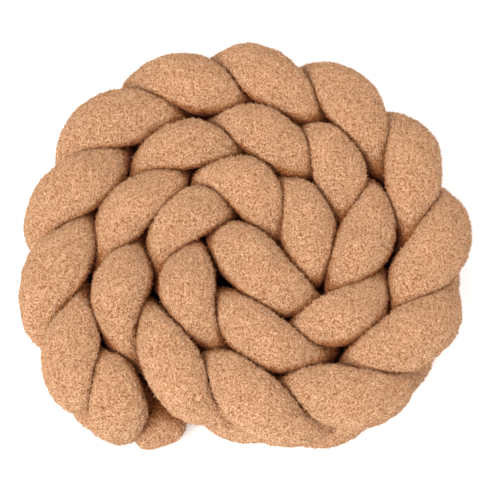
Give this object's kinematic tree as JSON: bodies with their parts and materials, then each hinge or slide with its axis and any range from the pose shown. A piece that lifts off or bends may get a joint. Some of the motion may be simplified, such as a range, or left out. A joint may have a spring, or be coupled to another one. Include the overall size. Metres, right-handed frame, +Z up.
{
  "type": "braided crib bumper",
  "caption": "Soft padded bumper of filled plush tubes in a flat braid, rolled up on edge into a spiral that stands on its long side.",
  "frame": {"origin": "middle of the roll's box, on the surface that it stands on", "axes": "+Z up, across the braid's width; +X along the roll's longest side; the loose outer end of the braid lies towards -X and -Y"},
  "size_m": [0.4208, 0.3938, 0.1515],
  "materials": {
    "boucle": "curly camel plush, matt"
  },
  "bodies": {
    "root": {"strand_1": "boucle", "strand_2": "boucle", "strand_3": "boucle"}
  },
  "joints": []
}
